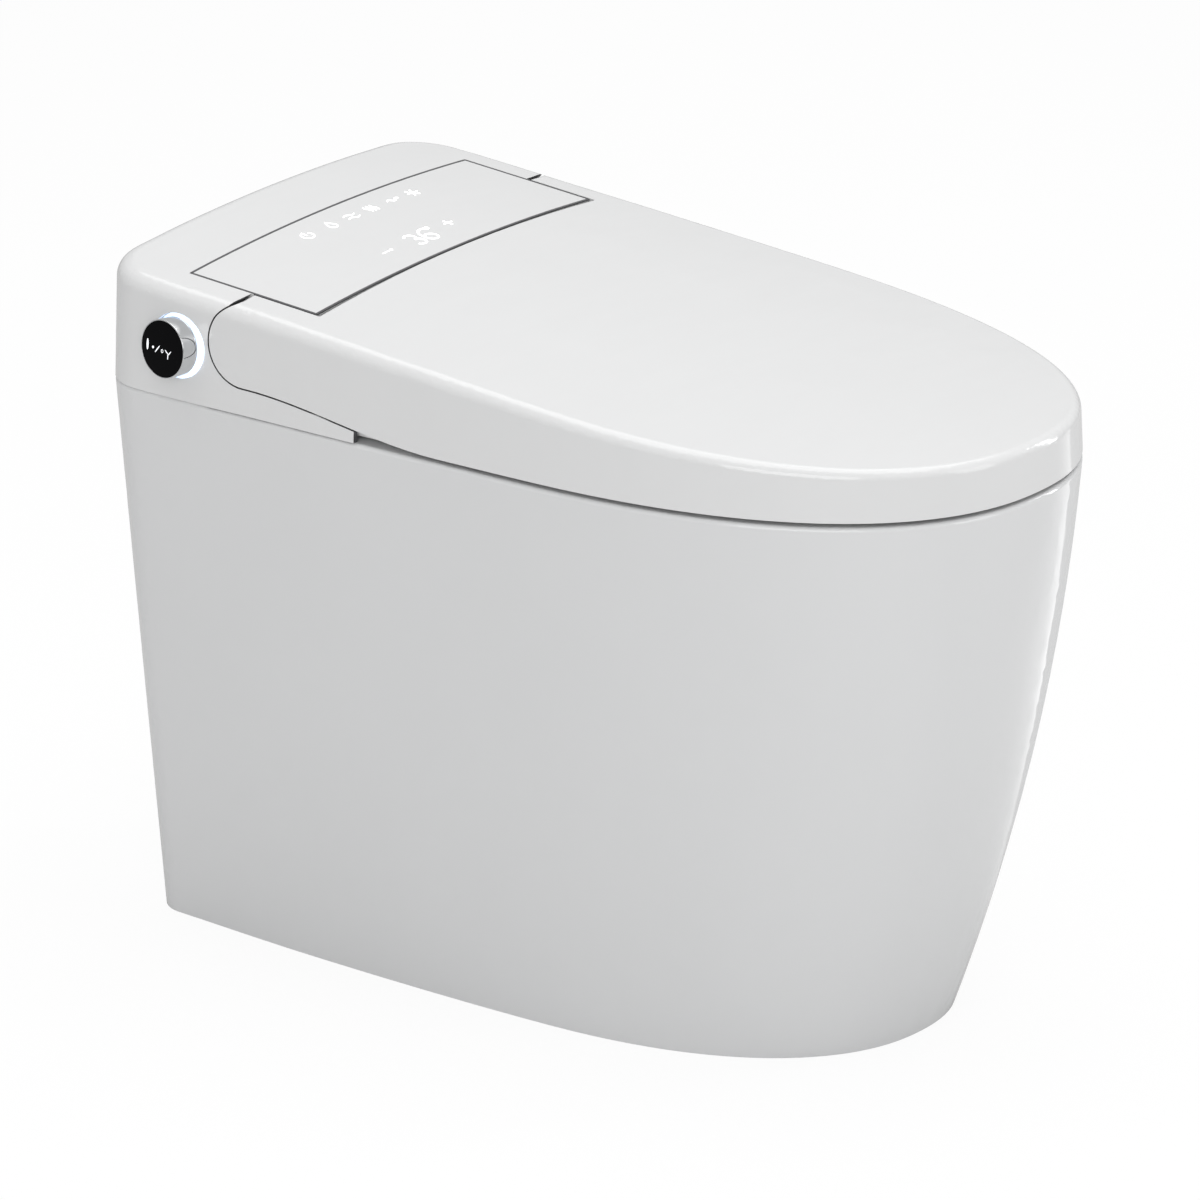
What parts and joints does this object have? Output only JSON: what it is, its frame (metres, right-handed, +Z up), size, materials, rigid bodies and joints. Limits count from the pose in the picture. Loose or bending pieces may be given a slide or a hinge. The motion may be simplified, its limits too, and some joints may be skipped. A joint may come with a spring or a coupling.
{
  "type": "smart toilet with heated seat",
  "caption": "Floor-standing one-piece toilet with a motorised lid, heated seat, flush display panel, side knob, wash nozzles and air dryer.",
  "frame": {"origin": "on the floor, at the axis of the floor outlet", "axes": "+Z up, front faces -Y, +X to the right of someone facing the front (the knob is on -X)"},
  "size_m": [0.4035, 0.6851, 0.5141],
  "materials": {
    "ceramic_body": "high-gloss white glaze",
    "outlet_seal": "soft black rubber",
    "rear_housing": "high-gloss white moulding",
    "chassis_plate": "grey moulding",
    "deck_gasket": "soft foam",
    "display_cover": "clear-coated white cover with lit marks",
    "display_board": "green circuit board",
    "hinge_pins": "ground steel",
    "seat_bushes": "natural acetal",
    "lid_bushes": "natural acetal",
    "drive_brackets": "grey moulding",
    "lid_drive": "black geared drive",
    "seat_drive": "black geared drive",
    "halo_ring": "translucent lit ring",
    "knob_bush": "natural acetal",
    "knob_encoder": "black encoder",
    "knob_shaft": "ground steel",
    "knob_rim": "bright chrome",
    "knob_face": "gloss black with white marks",
    "chassis_bolts": "zinc-plated steel",
    "chassis_nuts": "zinc-plated steel",
    "housing_screws": "zinc-plated steel",
    "power_supply": "grey case",
    "water_heater": "heat-resistant moulding",
    "valve_block": "blue moulding",
    "air_pump": "black moulding",
    "control_board": "green circuit board",
    "board_posts": "brass",
    "deodoriser": "dark grey moulding",
    "buffer_tank": "natural moulding",
    "tank_posts": "grey moulding",
    "flush_pump": "black moulding",
    "water_inlet": "brass",
    "mains_gland": "black nylon",
    "pump_hose": "black rubber hose",
    "nozzle_housing": "white moulding",
    "nozzle_motors": "motor can",
    "rear_nozzle": "polished steel tube",
    "rear_nozzle_tip": "white tip",
    "front_nozzle": "polished steel tube",
    "front_nozzle_tip": "white tip",
    "dryer_blower": "dark moulding",
    "dryer_rotor": "light moulding",
    "dryer_motor": "motor can",
    "dryer_duct": "white moulding",
    "dryer_flap": "white flap",
    "lid_shell": "high-gloss white moulding",
    "lid_liner": "satin white moulding",
    "lid_bumpers": "pale rubber",
    "seat_top_shell": "high-gloss white moulding",
    "seat_bottom_shell": "white moulding",
    "seat_heater": "foil heating sheet",
    "seat_bumpers": "pale rubber"
  },
  "bodies": {
    "base": {"ceramic_body": "ceramic_body", "outlet_seal": "outlet_seal", "rear_housing": "rear_housing", "chassis_plate": "chassis_plate", "deck_gasket": "deck_gasket", "display_cover": "display_cover", "display_board": "display_board", "hinge_pins": "hinge_pins", "drive_brackets": "drive_brackets", "lid_drive": "lid_drive", "seat_drive": "seat_drive", "halo_ring": "halo_ring", "knob_bush": "knob_bush", "knob_encoder": "knob_encoder", "chassis_bolts": "chassis_bolts", "chassis_nuts": "chassis_nuts", "housing_screws": "housing_screws", "power_supply": "power_supply", "water_heater": "water_heater", "valve_block": "valve_block", "air_pump": "air_pump", "control_board": "control_board", "board_posts": "board_posts", "deodoriser": "deodoriser", "buffer_tank": "buffer_tank", "tank_posts": "tank_posts", "flush_pump": "flush_pump", "water_inlet": "water_inlet", "mains_gland": "mains_gland", "pump_hose": "pump_hose", "nozzle_housing": "nozzle_housing", "nozzle_motors": "nozzle_motors", "dryer_blower": "dryer_blower", "dryer_motor": "dryer_motor", "dryer_duct": "dryer_duct"},
    "seat": {"seat_top_shell": "seat_top_shell", "seat_bottom_shell": "seat_bottom_shell", "seat_heater": "seat_heater", "seat_bumpers": "seat_bumpers", "seat_bushes": "seat_bushes"},
    "lid": {"lid_shell": "lid_shell", "lid_liner": "lid_liner", "lid_bumpers": "lid_bumpers", "lid_bushes": "lid_bushes"},
    "knob_stem": {"knob_shaft": "knob_shaft"},
    "knob": {"knob_rim": "knob_rim", "knob_face": "knob_face"},
    "rear_nozzle": {"rear_nozzle": "rear_nozzle", "rear_nozzle_tip": "rear_nozzle_tip"},
    "front_nozzle": {"front_nozzle": "front_nozzle", "front_nozzle_tip": "front_nozzle_tip"},
    "dryer_flap": {"dryer_flap": "dryer_flap"},
    "dryer_rotor": {"dryer_rotor": "dryer_rotor"}
  },
  "joints": [
    {"name": "seat_hinge", "type": "hinge", "parent": "base", "child": "seat", "pos_m": [0, 0.1675, 0.4844], "axis": [-1, 0, 0], "range_deg": [0, 95]},
    {"name": "lid_hinge", "type": "hinge", "parent": "seat", "child": "lid", "pos_m": [0, 0.1675, 0.4844], "axis": [1, 0, 0], "range_deg": [-96, 0]},
    {"name": "knob_push", "type": "slide", "parent": "base", "child": "knob_stem", "axis": [0.9901, -0.1216, -0.0698], "range_m": [0, 0.0015], "stiffness_N_per_m": 1500, "springref_m": -0.0005},
    {"name": "knob_spin", "type": "hinge", "parent": "knob_stem", "child": "knob", "pos_m": [-0.1894, 0.2254, 0.46], "axis": [-0.9901, 0.1216, 0.0698], "continuous": true},
    {"name": "rear_nozzle_slide", "type": "slide", "parent": "base", "child": "rear_nozzle", "axis": [0, -0.8829, -0.4695], "range_m": [0, 0.1]},
    {"name": "front_nozzle_slide", "type": "slide", "parent": "base", "child": "front_nozzle", "axis": [0, -0.8829, -0.4695], "range_m": [0, 0.1]},
    {"name": "dryer_flap_hinge", "type": "hinge", "parent": "base", "child": "dryer_flap", "pos_m": [0.038, 0.128, 0.421], "axis": [-1, 0, 0], "range_deg": [0, 55]},
    {"name": "dryer_rotor_spin", "type": "hinge", "parent": "base", "child": "dryer_rotor", "pos_m": [0.062, 0.213, 0.44], "axis": [0, 0, 1], "continuous": true}
  ]
}
